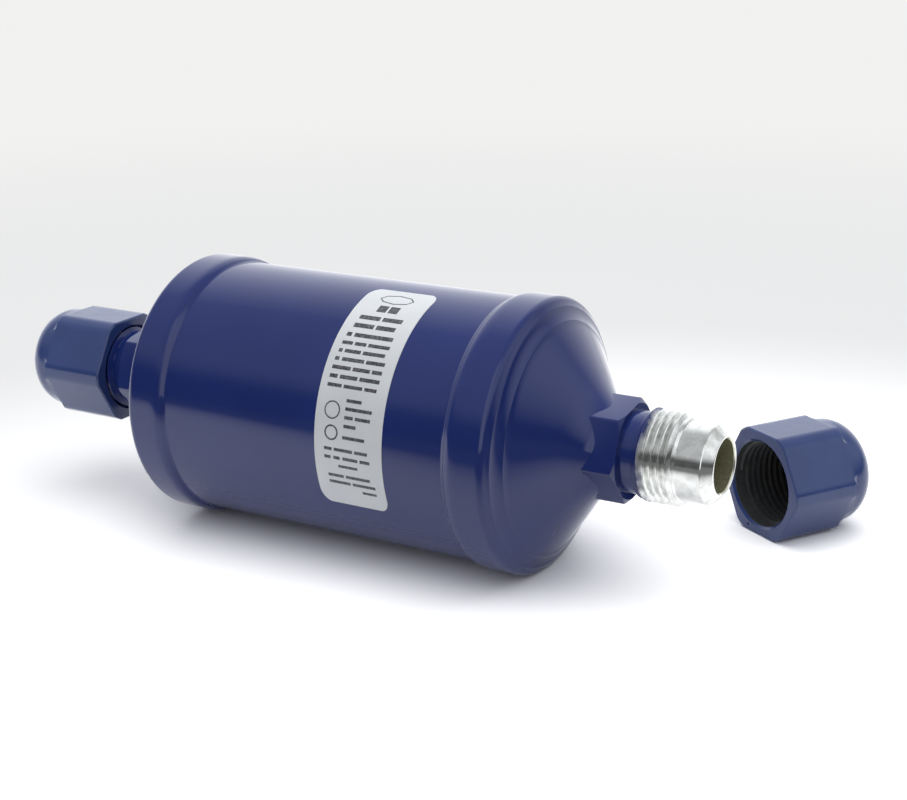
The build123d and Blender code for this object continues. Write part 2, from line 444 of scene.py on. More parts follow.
def limit_radius(obj: Piece, limit: Callable[[float], float]) -> None:
    """Press points that stand outside a turned envelope back on to it.

    Args:
        obj: The mesh.
        limit: The largest radius allowed at an x.
    """
    for vertex in obj.data.vertices:
        radius = math.hypot(vertex.co.y, vertex.co.z)
        allowed = limit(vertex.co.x)
        if radius > allowed:
            vertex.co.y *= allowed / radius
            vertex.co.z *= allowed / radius


def select_loop_at(obj: Piece, x: float) -> None:
    """Select the open edges that lie in one plane across the axis.

    Args:
        obj: The mesh.
        x: Where the plane stands.
    """
    select_only(
        obj, lambda edge: edge.is_boundary and all(abs(v.co.x - x) < CUT_GAP for v in edge.verts)
    )


def place(obj: Piece, turn: float, at: Sequence[float]) -> Piece:
    """Turn a finished mesh about Z, then move it.

    Args:
        obj: The mesh, at the origin.
        turn: The turn about Z.
        at: Where it goes.

    Returns:
        The same piece.
    """
    obj.rotation_euler = (0, 0, turn)
    obj.location = at
    return settle(obj)


def coat(obj: Piece, material: Finish) -> None:
    """Give a piece one finish in place of what it has.

    Args:
        obj: The piece.
        material: Its finish.
    """
    obj.data.materials.clear()
    obj.data.materials.append(material)


def dress(obj: Piece, material: Finish, body: str, slot: str, *nodes: str) -> Piece:
    """Give a piece its finish and its body, and hide the nodes it stands for.

    Args:
        obj: The piece.
        material: Its finish.
        body: The body it rides on.
        slot: The record's material slot. Not used.
        nodes: The nodes it replaces.

    Returns:
        The same piece.
    """
    coat(obj, material)
    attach(obj, body)
    if nodes:
        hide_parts(*nodes)
    LOG.info("%s rides on %s with %s", obj.name, body, material.name)
    return obj


# ---------------------------------------------------------------- node graphs
class Fade(NamedTuple):
    """A run from one level to another between two values, held at both ends."""

    start: float
    end: float
    low: float = 0.0
    high: float = 1.0

    def between(self, low: float, high: float) -> "Fade":
        """The same run between two other levels."""
        return self._replace(low=low, high=high)


NOISE = Fade(0.3, 0.7)
WHOLE = Fade(0.0, 1.0)


class Graph:
    """A node tree while it is being put together."""

    def __init__(self, owner: bpy.types.ID) -> None:
        """Take over the node tree of a material or a world.

        Args:
            owner: The material or world.
        """
        owner.use_nodes = True
        self.nodes = owner.node_tree.nodes
        self.links = owner.node_tree.links

    def add(self, kind: str, **settings: object) -> bpy.types.Node:
        """Add a shader node with its own settings.

        Args:
            kind: The node's type, without its prefix.
            settings: Its settings by name.

        Returns:
            The new node.
        """
        node = self.nodes.new(f"ShaderNode{kind}")
        for key, value in settings.items():
            setattr(node, key, value)
        return node

    def wire(self, socket: Socket, value: object) -> None:
        """Link another node's output to a socket, or set it to a number, a place or a colour.

        Args:
            socket: The input to feed.
            value: What feeds it.
        """
        if isinstance(value, Socket):
            self.links.new(value, socket)
        elif socket.type == "RGBA":
            socket.default_value = (*value, 1.0)
        else:
            socket.default_value = value

    def combine(self, operation: str, *values: object) -> Socket:
        """Do one sum on values, each a number or another node's output.

        Args:
            operation: The sum, as the Math node names it.
            values: What it is done on.

        Returns:
            The result.
        """
        node = self.add("Math", operation=operation)
        for socket, value in zip(node.inputs, values):
            self.wire(socket, value)
        return node.outputs[0]

    def fade(self, source: Socket, run: Fade, smooth: bool = False) -> Socket:
        """Turn a value into a level, in a straight or a smooth run.

        Args:
            source: The value to read.
            run: The run of levels.
            smooth: Whether it eases in and out.

        Returns:
            The level.
        """
        node = self.add("MapRange", interpolation_type="SMOOTHSTEP" if smooth else "LINEAR")
        for name, value in zip(("From Min", "From Max", "To Min", "To Max"), run):
            node.inputs[name].default_value = value
        self.links.new(source, node.inputs["Value"])
        return node.outputs["Result"]

    def measure(
        self, operation: str, vector: Socket, other: Triple = (0.0, 0.0, 0.0)
    ) -> Socket:
        """Get a vector's length, its distance from a point or its reach along a direction.

        Args:
            operation: LENGTH, DISTANCE or DOT_PRODUCT.
            vector: The vector.
            other: The point or direction it is set against.

        Returns:
            The measure.
        """
        node = self.add("VectorMath", operation=operation)
        self.links.new(vector, node.inputs[0])
        node.inputs[1].default_value = other
        return node.outputs["Value"]

    def split(self, vector: Socket, axis: str) -> Socket:
        """Get one coordinate of a vector.

        Args:
            vector: The vector.
            axis: X, Y or Z.

        Returns:
            The coordinate.
        """
        node = self.add("SeparateXYZ")
        self.links.new(vector, node.inputs[0])
        return node.outputs[axis]

    def ray(self, kind: str) -> Socket:
        """Whether the ray that arrives is of a kind."""
        return self.add("LightPath").outputs[f"Is {kind} Ray"]

    def shader(self, kind: str, colour: object, strength: object = None) -> Socket:
        """Add a shader of one colour, and of one strength where it gives light.

        Args:
            kind: The shader's type.
            colour: Its colour.
            strength: Its strength, if it has one.

        Returns:
            The shader.
        """
        node = self.add(kind)
        self.wire(node.inputs["Color"], colour)
        if strength is not None:
            self.wire(node.inputs["Strength"], strength)
        return node.outputs[0]

    def mix(
        self, share: Socket, first: Socket, second: Socket
    ) -> Socket:
        """Mix two shaders.

        Args:
            share: How much of the second shows.
            first: The first shader.
            second: The second shader.

        Returns:
            The mixed shader.
        """
        node = self.add("MixShader")
        for socket, value in zip(node.inputs, (share, first, second)):
            self.links.new(value, socket)
        return node.outputs[0]

    def end(self, kind: str, shader: Socket) -> None:
        """Feed a shader to the tree's output."""
        self.links.new(shader, self.add(kind).inputs[0])


class Recipe(Graph):
    """A material's node tree, with one surface shader to feed. Scales are in cells to the metre."""

    def __init__(self, name: str) -> None:
        """Start a material with one surface shader.

        Args:
            name: The material's name.
        """
        self.material = bpy.data.materials.new(name)
        super().__init__(self.material)
        self.surface = self.nodes["Principled BSDF"]
        self.coordinates = self.add("TexCoord").outputs["Object"]

    def feed(self, name: str, value: object) -> None:
        """Drive or set one of the surface's sockets."""
        self.wire(self.surface.inputs[name], value)

    def noise(self, scale: float, detail: float, roughness: float = 0.5) -> Socket:
        """A noise in object space."""
        return self.texture("TexNoise", "Fac", Scale=scale, Detail=detail, Roughness=roughness)

    def texture(self, kind: str, output: str, /, **sockets: float) -> Socket:
        """Add a texture in object space, with the values of its sockets.

        Args:
            kind: The texture's type.
            output: The output to read.
            sockets: Its inputs by name.

        Returns:
            The output.
        """
        node = self.add(kind)
        for name, value in sockets.items():
            node.inputs[name].default_value = value
        self.links.new(self.coordinates, node.inputs["Vector"])
        return node.outputs[output]

    def blend(self, share: Socket, first: object, second: object) -> Socket:
        """Mix two colours, each a colour or another node's output.

        Args:
            share: How much of the second shows.
            first: The first colour.
            second: The second colour.

        Returns:
            The mixed colour.
        """
        node = self.add("Mix", data_type="RGBA")
        self.links.new(share, node.inputs["Factor"])
        self.wire(node.inputs[6], first)
        self.wire(node.inputs[7], second)
        return node.outputs[2]

    def bump(self, height: Socket, depth: float, strength: float) -> None:
        """Raise the surface by a height, whose full depth is in metres.

        Args:
            height: What raises the surface.
            depth: The full depth, in metres.
            strength: How strongly it shows, up to 1.
        """
        node = self.add("Bump")
        node.inputs["Distance"].default_value = depth
        node.inputs["Strength"].default_value = strength
        self.links.new(height, node.inputs["Height"])
        self.links.new(node.outputs[0], self.surface.inputs["Normal"])


# ---------------------------------------------------------------- finishes
@dataclass(frozen=True)
class Coat:
    """A finish of two close tones with an uneven sheen and a fine grain.

    Each noise is given by its scale and detail, and the grain by its roughness as well.
    """

    name: str
    first: Triple
    second: Triple
    tones: Pair
    sheen: Pair
    roughness: Pair
    grain: Triple
    depth: float
    strength: float
    blending: Fade = Fade(0.35, 0.65)

    def make(self) -> Finish:
        """Build the material.

        Returns:
            The material.
        """
        recipe = Recipe(self.name)
        tone = recipe.fade(recipe.noise(*self.tones), self.blending)
        recipe.feed("Base Color", recipe.blend(tone, self.first, self.second))
        sheen = recipe.noise(*self.sheen)
        recipe.feed("Roughness", recipe.fade(sheen, NOISE.between(*self.roughness)))
        recipe.bump(recipe.noise(*self.grain), self.depth, self.strength)
        return recipe.material


@dataclass(frozen=True)
class ShellPaint(Coat):
    """Glossy baked paint on drawn steel, with a faint orange peel."""

    name: str = "baked_paint"
    first: Triple = (0.0085, 0.0200, 0.122)
    second: Triple = (0.0115, 0.0250, 0.142)
    tones: Pair = (24.0, 3.0)
    sheen: Pair = (160.0, 4.0)
    roughness: Pair = (0.06, 0.11)
    grain: Triple = (420.0, 1.5, 0.4)
    depth: float = 0.012 * MM
    strength: float = 0.5


@dataclass(frozen=True)
class CapPlastic(Coat):
    """Moulded polyethylene with a soft sheen and fine scuffs."""

    name: str = "moulded_plastic"
    first: Triple = (0.023, 0.044, 0.152)
    second: Triple = (0.028, 0.052, 0.172)
    tones: Pair = (90.0, 4.0)
    sheen: Pair = (240.0, 3.0)
    roughness: Pair = (0.15, 0.24)
    grain: Triple = (320.0, 2.0, 0.5)
    depth: float = 0.01 * MM
    strength: float = 0.4


@dataclass(frozen=True)
class LabelFilm(Coat):
    """Pale satin film, a little uneven where it is pressed down."""

    name: str = "satin_film"
    first: Triple = (0.66, 0.68, 0.70)
    second: Triple = (0.60, 0.625, 0.65)
    tones: Pair = (60.0, 4.0)
    sheen: Pair = (300.0, 3.0)
    roughness: Pair = (0.30, 0.42)
    grain: Triple = (500.0, 2.0, 0.5)
    depth: float = 0.008 * MM
    strength: float = 0.4


@dataclass(frozen=True)
class PlatedSteel:
    """Bright zinc plate on turned steel, with fine tool rings and paint run over the first threads."""

    name: str = "zinc_plate"
    plate: Triple = (0.84, 0.85, 0.83)
    dull: Triple = (0.60, 0.61, 0.58)
    bore: Triple = (0.60, 0.59, 0.44)
    bore_r: float = 6.55 * MM
    bore_soft: float = 0.1 * MM
    bore_metal: float = 0.8
    bore_rough: float = 0.1
    paint: Triple = (0.0095, 0.0215, 0.128)
    paint_edge: float = 79.5 * MM
    paint_soft: float = 0.55 * MM
    ragged: float = 0.5 * MM
    ragged_noise: Pair = (260.0, 4.0)
    wear: Triple = (450.0, 5.0, 0.6)
    worn: Fade = Fade(0.42, 0.70)
    sheen: Pair = (900.0, 4.0)
    roughness: Pair = (0.05, 0.14)
    tool_rings: float = 1300.0
    ring_waver: float = 0.8
    ring_depth: float = 0.003 * MM
    ring_strength: float = 0.5

    def inside(self, recipe: Recipe) -> Socket:
        """How far a point lies in the bore, from none to full.

        Args:
            recipe: The material being built.

        Returns:
            The share.
        """
        squares = []
        for axis in "YZ":
            along = recipe.split(recipe.coordinates, axis)
            squares.append(recipe.combine("MULTIPLY", along, along))
        radius = recipe.combine("SQRT", recipe.combine("ADD", *squares))
        run = Fade(self.bore_r - self.bore_soft, self.bore_r + self.bore_soft, 1.0, 0.0)
        return recipe.fade(radius, run)

    def bare(self, recipe: Recipe) -> Socket:
        """How free of paint a point is, from none to full.

        Args:
            recipe: The material being built.

        Returns:
            The share.
        """
        reach = recipe.combine("ABSOLUTE", recipe.split(recipe.coordinates, "X"))
        noise = recipe.noise(*self.ragged_noise)
        ragged = recipe.fade(noise, NOISE.between(-self.ragged, self.ragged))
        past = recipe.combine("SUBTRACT", recipe.combine("ADD", reach, ragged), self.paint_edge)
        return recipe.fade(past, Fade(-self.paint_soft, self.paint_soft))

    def make(self) -> Finish:
        """Build the material.

        Returns:
            The material.
        """
        recipe = Recipe(self.name)
        worn = recipe.fade(recipe.noise(*self.wear), self.worn)
        metal = recipe.blend(worn, self.plate, self.dull)
        inside, bare = self.inside(recipe), self.bare(recipe)
        outside = recipe.blend(bare, self.paint, metal)
        recipe.feed("Base Color", recipe.blend(inside, outside, self.bore))
        solid = recipe.fade(inside, WHOLE.between(1.0, self.bore_metal))
        recipe.feed("Metallic", recipe.combine("MULTIPLY", bare, solid))
        finish = recipe.fade(recipe.noise(*self.sheen), NOISE.between(*self.roughness))
        rough = recipe.fade(inside, WHOLE.between(0.0, self.bore_rough))
        recipe.feed("Roughness", recipe.combine("ADD", finish, rough))
        wave = recipe.texture("TexWave", "Fac", Scale=self.tool_rings, Distortion=self.ring_waver)
        recipe.bump(wave, self.ring_depth, self.ring_strength)
        return recipe.material


@dataclass(frozen=True)
class PrintInk:
    """Dark ink on the label, thin enough to break up a little."""

    name: str = "print_ink"
    ink: Triple = (0.035, 0.037, 0.045)
    thin: Triple = (0.16, 0.165, 0.18)
    grain: Pair = (1800.0, 3.0)
    breaks: Fade = Fade(0.40, 0.72)
    roughness: float = 0.45

    def make(self) -> Finish:
        """Build the material.

        Returns:
            The material.
        """
        recipe = Recipe(self.name)
        tone = recipe.fade(recipe.noise(*self.grain), self.breaks)
        recipe.feed("Base Color", recipe.blend(tone, self.ink, self.thin))
        recipe.feed("Roughness", self.roughness)
        return recipe.material


@dataclass(frozen=True)
class Plain:
    """A finish of two mixed tones with a grain, for rubber and for the pieces inside the shell."""

    name: str
    first: Triple
    second: Triple
    grain: float
    roughness: float
    metallic: float = 0.0
    depth: float = 0.02 * MM
    strength: float = 0.7
    blending: Fade = Fade(0.38, 0.64)
    uneven: Pair = (0.85, 1.15)

    def make(self) -> Finish:
        """Build the material.

        Returns:
            The material.
        """
        recipe = Recipe(self.name)
        grain = recipe.noise(self.grain, 5.0, 0.6)
        tone = recipe.fade(grain, self.blending)
        recipe.feed("Base Color", recipe.blend(tone, self.first, self.second))
        levels = [min(1.0, self.roughness * share) for share in self.uneven]
        recipe.feed("Roughness", recipe.fade(grain, NOISE.between(*levels)))
        recipe.bump(grain, self.depth, self.strength)
        recipe.feed("Metallic", self.metallic)
        return recipe.material


@dataclass(frozen=True)
class Beads:
    """Packed desiccant beads."""

    name: str = "packed_beads"
    pale: Triple = (0.56, 0.49, 0.38)
    dark: Triple = (0.30, 0.25, 0.18)
    beads_to_metre: float = 520.0
    shadow: Fade = Fade(0.15, 0.75)
    dome: Fade = Fade(0.0, 0.8, 1.0, 0.0)
    depth: float = 0.6 * MM
    roughness: float = 0.85

    def make(self) -> Finish:
        """Build the material.

        Returns:
            The material.
        """
        recipe = Recipe(self.name)
        distance = recipe.texture("TexVoronoi", "Distance", Scale=self.beads_to_metre)
        shadow = recipe.fade(distance, self.shadow)
        recipe.feed("Base Color", recipe.blend(shadow, self.pale, self.dark))
        recipe.bump(recipe.fade(distance, self.dome), self.depth, 1.0)
        recipe.feed("Roughness", self.roughness)
        return recipe.material


@dataclass(frozen=True)
class WovenWire:
    """Fine woven wire cloth, over and under."""

    name: str = "woven_wire"
    wire: Triple = (0.46, 0.46, 0.44)
    gap: Triple = (0.05, 0.05, 0.05)
    wires_to_metre: float = 1250.0
    cover: Fade = Fade(0.35, 0.75)
    depth: float = 0.15 * MM
    strength: float = 0.8
    roughness: float = 0.38

    def make(self) -> Finish:
        """Build the material.

        Returns:
            The material.
        """
        recipe = Recipe(self.name)
        heights = []
        for direction in "YZ":
            height = recipe.texture("TexWave", "Fac", Scale=self.wires_to_metre * math.pi / 10)
            height.node.bands_direction = direction
            heights.append(height)
        height = recipe.combine("MAXIMUM", *heights)
        mask = recipe.fade(height, self.cover)
        recipe.feed("Base Color", recipe.blend(mask, self.gap, self.wire))
        recipe.feed("Metallic", mask)
        recipe.bump(height, self.depth, self.strength)
        recipe.feed("Roughness", self.roughness)
        return recipe.material


# ---------------------------------------------------------------- shell
@dataclass
class Shell:
    """The painted steel shell: tube, drawn end cups and the welds at their lips."""

    paint: Finish
    tube_outer: float = 32.9 * MM
    tube_wall: float = 1.4 * MM
    tube_half: float = 47.2 * MM
    lip_x: float = 41.4 * MM
    lip_r: float = 33.6 * MM
    cup_outer: float = 34.15 * MM
    cup_wall: float = 1.2 * MM
    skirt_end: float = 51.2 * MM
    dish_x: float = 53.8 * MM
    dish_r: float = 29.25 * MM
    neck_r: float = 13.2 * MM
    neck_x: float = 65.038 * MM
    hole_r: float = 9.55 * MM
    band_turn: float = math.atan2(4.9, 2.6)
    dish_turn: float = math.radians(55)
    shoulder_round: float = 1.1 * MM
    shoulder_margin: float = 1.4 * MM
    worn_lip: tuple[Station, ...] = ((0.55 * MM, 0.26 * MM), (1.15 * MM, 0.45 * MM))
    lip_run: float = 1.90 * MM
    band_line: float = 2.15 * MM
    dish_line: float = 0.25 * MM
    press_steps: tuple[Station, ...] = ((0.0, 0.0), (0.22, 0.07), (0.40, 0.10), (0.58, 0.07), (0.80, 0.0))
    weld_leg: float = 1.2 * MM
    weld_face: tuple[Station, ...] = ((1.0, 0.0), (0.72, 0.13), (0.42, 0.42), (0.18, 0.78), (0.0, 1.0))
    tube_round: float = 0.2 * MM
    points: int = 192

    def tube(self) -> None:
        """Build the rolled tube."""
        inner = self.tube_outer - self.tube_wall
        half = self.tube_half
        obj = turned(
            "shell_tube_painted",
            [(-half, self.tube_outer), (half, self.tube_outer), (half, inner), (-half, inner)],
            [(half, self.tube_outer, self.tube_round), (-half, self.tube_outer, self.tube_round)],
            points=self.points,
        )
        dress(obj, self.paint, "drier", "shell_paint", "shell_tube")

    def behind(self, x: float, radius: float, before: float, after: float) -> Station:
        """The inside corner of a cup's wall behind an outside one where two slopes meet.

        Args:
            x: The outside corner's x.
            radius: The outside corner's radius.
            before: The slope before it, from the axis.
            after: The slope after it.

        Returns:
            The inside corner.
        """
        reach = self.cup_wall / math.cos((after - before) / 2)
        middle = (before + after) / 2
        return x - reach * math.sin(middle), radius - reach * math.cos(middle)

    def press_line(self, x: float, radius: float, turn: float, start: float) -> list[Station]:
        """The fine raised line that the press leaves across a slope that runs from a corner.

        Args:
            x: The corner's x.
            radius: The corner's radius.
            turn: The slope, from the axis.
            start: How far from the corner the line starts.

        Returns:
            The line's stations.
        """
        sin, cos = math.sin(turn), math.cos(turn)
        line = []
        for along, proud in self.press_steps:
            reach, lift = start + along * MM, proud * MM
            line.append((x + reach * cos + lift * sin, radius - reach * sin + lift * cos))
        return line

    def cup(self, end: End) -> None:
        """Build one drawn end cup, with its worn lip, its shoulder band and its dish.

        Args:
            end: Which end of the shell.
        """
        s = end.value
        profile = [
            (self.lip_x, self.cup_outer - self.cup_wall),
            (self.lip_x, self.lip_r),
            *[(self.lip_x + along, self.lip_r + up) for along, up in self.worn_lip],
            (self.lip_x + self.lip_run, self.cup_outer),
            (self.skirt_end, self.cup_outer),
            *self.press_line(self.skirt_end, self.cup_outer, self.band_turn, self.band_line),
            *self.press_line(self.dish_x, self.dish_r, self.dish_turn, self.dish_line),
            (self.neck_x, self.neck_r),
            (self.neck_x, self.hole_r),
            (self.neck_x - self.cup_wall, self.hole_r),
            self.behind(self.neck_x, self.neck_r, self.dish_turn, math.pi / 2),
            self.behind(self.dish_x, self.dish_r, self.band_turn, self.dish_turn),
            self.behind(self.skirt_end, self.cup_outer, 0.0, self.band_turn),
        ]
        obj = turned(
            f"{end.word}_cup_painted",
            [(s * x, radius) for x, radius in profile],
            [(s * self.skirt_end, self.cup_outer, self.shoulder_round)],
            margin=self.shoulder_margin,
            points=self.points,
            segments=8,
        )
        dress(obj, self.paint, "drier", "shell_paint", f"{end.word}_end_cup")

    def weld(self, end: End) -> None:
        """Build the weld in the corner of one lip, its face hollow at the toe.

        Args:
            end: Which end of the shell.
        """
        s, foot = end.value, self.tube_outer
        rise = self.lip_r - foot
        profile = [
            (s * (self.lip_x - back * self.weld_leg), foot + up * rise) for back, up in self.weld_face
        ]
        profile.append((s * self.lip_x, foot))
        obj = turned(f"{end.word}_lip_weld_bead", profile, points=self.points)
        dress(obj, self.paint, "drier", "shell_paint", f"{end.word}_lip_weld")

    def build(self) -> None:
        """Build the whole shell."""
        self.tube()
        for end in End:
            self.cup(end)
            self.weld(end)


# ---------------------------------------------------------------- flare fittings
@dataclass
class FlareFitting:
    """One flare fitting: painted hexagon and neck, plated thread, seat and flare."""

    paint: Finish
    plate: Finish
    neck_x: float = Shell.neck_x
    hex_front: float = 74.038 * MM
    thread_start: float = 77.338 * MM
    thread_end: float = 87.838 * MM
    seat_end: float = 94.138 * MM
    nose_x: float = 96.488 * MM
    spigot_x: float = 58.838 * MM
    flat: float = 11.1125 * MM
    turn: float = math.radians(10)
    hex_chamfer: float = 0.75 * MM
    hex_edge_round: float = 0.35 * MM
    relief_r: float = 9.9 * MM
    core_r: float = 8.3 * MM
    seat_r: float = 9.5 * MM
    spigot_r: float = 9.5 * MM
    nose_r: float = 7.15 * MM
    bore_r: float = 6.35 * MM
    bore_chamfer: float = 0.4 * MM
    thread_chamfer: float = 0.8 * MM
    major_r: float = 11.1125 * MM
    root_r: float = 10.02 * MM
    groove_at: float = 77.338 * MM
    crest: float = 0.20 * MM
    crest_round: float = 0.05 * MM
    seat_round: float = 0.18 * MM
    nose_round: float = 0.12 * MM
    mouth_round: float = 0.08 * MM
    fillet_foot: Station = (62.40 * MM, 16.96 * MM)
    fillet_top: Station = (69.20 * MM, 11.00 * MM)
    fillet_inside: float = 10.2 * MM
    fillet_back: tuple[Station, ...] = ((64.438 * MM, 10.2 * MM), (62.10 * MM, 16.46 * MM))
    fillet_steps: int = 10
    dish_turn: float = Shell.dish_turn
    margin: float = 0.4 * MM
    steps: int = 96

    def painted_body(self, end: End) -> Piece:
        """Build the hexagon and the neck in front of it, under the shell's paint.

        Args:
            end: Which end of the shell.

        Returns:
            The dressed body.
        """
        s = end.value
        corner = self.flat / math.cos(HEX_SLOPE)
        length = self.hex_front - self.neck_x
        obj = ring(f"{end.word}_fitting_painted", s * self.neck_x, corner, 6, self.turn, "NGON")
        edit(obj, "FACE")
        extrude(s * length)
        close_up(obj)
        select_only(obj, lambda edge: abs(edge.verts[0].co.x - edge.verts[1].co.x) > length / 2)
        bpy.ops.mesh.bevel(offset=self.hex_edge_round, segments=4, affect="EDGES")
        close_up(obj)
        back, front, slope = s * (self.neck_x - MM), s * self.hex_front, math.tan(HEX_SLOPE)
        profile = [
            (back, 0),
            (back, corner + MM),
            (front - s * (self.hex_chamfer + MM * slope), corner + MM),
            (front, corner - self.hex_chamfer / slope),
            (front, 0),
        ]
        combine(obj, turned("hex_cone", profile, margin=UNSUPPORTED), "INTERSECT")
        ends = s * (self.hex_front - OVERLAP), s * self.thread_start
        combine(obj, rod("neck", *ends, self.relief_r, SUPPORT), "UNION")
        ends = s * (self.neck_x - OVERLAP), s * (self.thread_start + OVERLAP)
        combine(obj, rod("core", *ends, self.core_r), "DIFFERENCE")
        shade(obj, math.radians(24))
        return dress(obj, self.paint, "drier", "shell_paint", f"{end.word}_flare_fitting")

    def braze_fillet(self, end: End) -> None:
        """Build the painted fillet of braze that runs from the dish up the foot of the hexagon.

        Args:
            end: Which end of the shell.
        """
        (foot_x, foot_r), (top_x, top_r) = self.fillet_foot, self.fillet_top
        corner_x = foot_x + (foot_r - top_r) / math.tan(self.dish_turn)
        profile = []
        for step in range(self.fillet_steps + 1):
            t = step / self.fillet_steps
            first, middle, last = (1 - t) ** 2, 2 * t * (1 - t), t * t
            x = first * foot_x + middle * corner_x + last * top_x
            profile.append((x, first * foot_r + middle * top_r + last * top_r))
        profile += [(top_x, self.fillet_inside), *self.fillet_back]
        profile = [(end.value * x, radius) for x, radius in profile]
        obj = turned(f"{end.word}_braze_fillet", profile, margin=3 * MM)
        dress(obj, self.paint, "drier", "shell_paint")

    def envelope(self, x: float) -> float:
        """The largest radius the thread may have at x, with its chamfered ends.

        Args:
            x: Where along the axis.

        Returns:
            The largest radius.
        """
        limit = self.major_r
        for past, foot in ((x - self.thread_start, self.relief_r), (self.thread_end - x, self.seat_r)):
            slope = (self.major_r - foot) / self.thread_chamfer
            limit = min(limit, foot + slope * max(0.0, past))
        return limit

    def plated_end(self, end: End) -> Piece:
        """Build the cut thread and, from its ends, the seat, the flare, the bore and the spigot.

        Args:
            end: Which end of the shell.

        Returns:
            The dressed piece.
        """
        flank, soft = (self.major_r - self.root_r) * math.tan(HEX_SLOPE), self.crest_round
        root = PITCH - 2 * flank - self.crest - 2 * soft
        start = self.groove_at - 2 * PITCH
        rise = start + root / 2 + flank
        profile = [
            (start, self.root_r),
            (start + root / 2, self.root_r),
            (rise, self.major_r - soft),
            (rise + soft, self.major_r),
            (rise + soft + self.crest, self.major_r),
            (rise + 2 * soft + self.crest, self.major_r - soft),
            (start + PITCH - root / 2, self.root_r),
            (start + PITCH, self.root_r),
        ]
        turns = math.ceil((self.thread_end - self.thread_start) / PITCH) + 4
        obj = helix(f"{end.word}_fitting_plated", profile, turns, self.steps, False)
        trim(obj, self.thread_end, True)
        trim(obj, self.thread_start, False)
        limit_radius(obj, self.envelope)
        mouth_r = self.bore_r + self.bore_chamfer
        path = [
            (self.thread_end, self.seat_r),
            (self.seat_end, self.seat_r),
            (self.nose_x, self.nose_r),
            (self.nose_x, mouth_r),
            (self.nose_x - self.bore_chamfer, self.bore_r),
            (self.spigot_x + self.bore_chamfer, self.bore_r),
            (self.spigot_x, mouth_r),
            (self.spigot_x, self.spigot_r),
            (self.neck_x, self.spigot_r),
            (self.neck_x, self.core_r),
            (self.thread_start, self.core_r),
        ]
        select_loop_at(obj, self.thread_end)
        draw_out(supported(path, self.margin))
        select_loop_at(obj, self.thread_start)
        bpy.ops.mesh.bridge_edge_loops()
        close_up(obj)
        rounds = [
            (self.seat_end, self.seat_r, self.seat_round),
            (self.nose_x, self.nose_r, self.nose_round),
            (self.nose_x, mouth_r, self.mouth_round),
        ]
        soften_rings(obj, rounds, 3)
        if end is End.INLET:
            place(obj, math.pi, (0, 0, 0))
        shade(obj)
        return dress(obj, self.plate, "drier", "plated_fitting", f"{end.word}_flare_fitting")

    def build(self, end: End) -> None:
        """Build one whole fitting.

        Args:
            end: Which end of the shell.
        """
        self.painted_body(end)
        self.braze_fillet(end)
        self.plated_end(end)


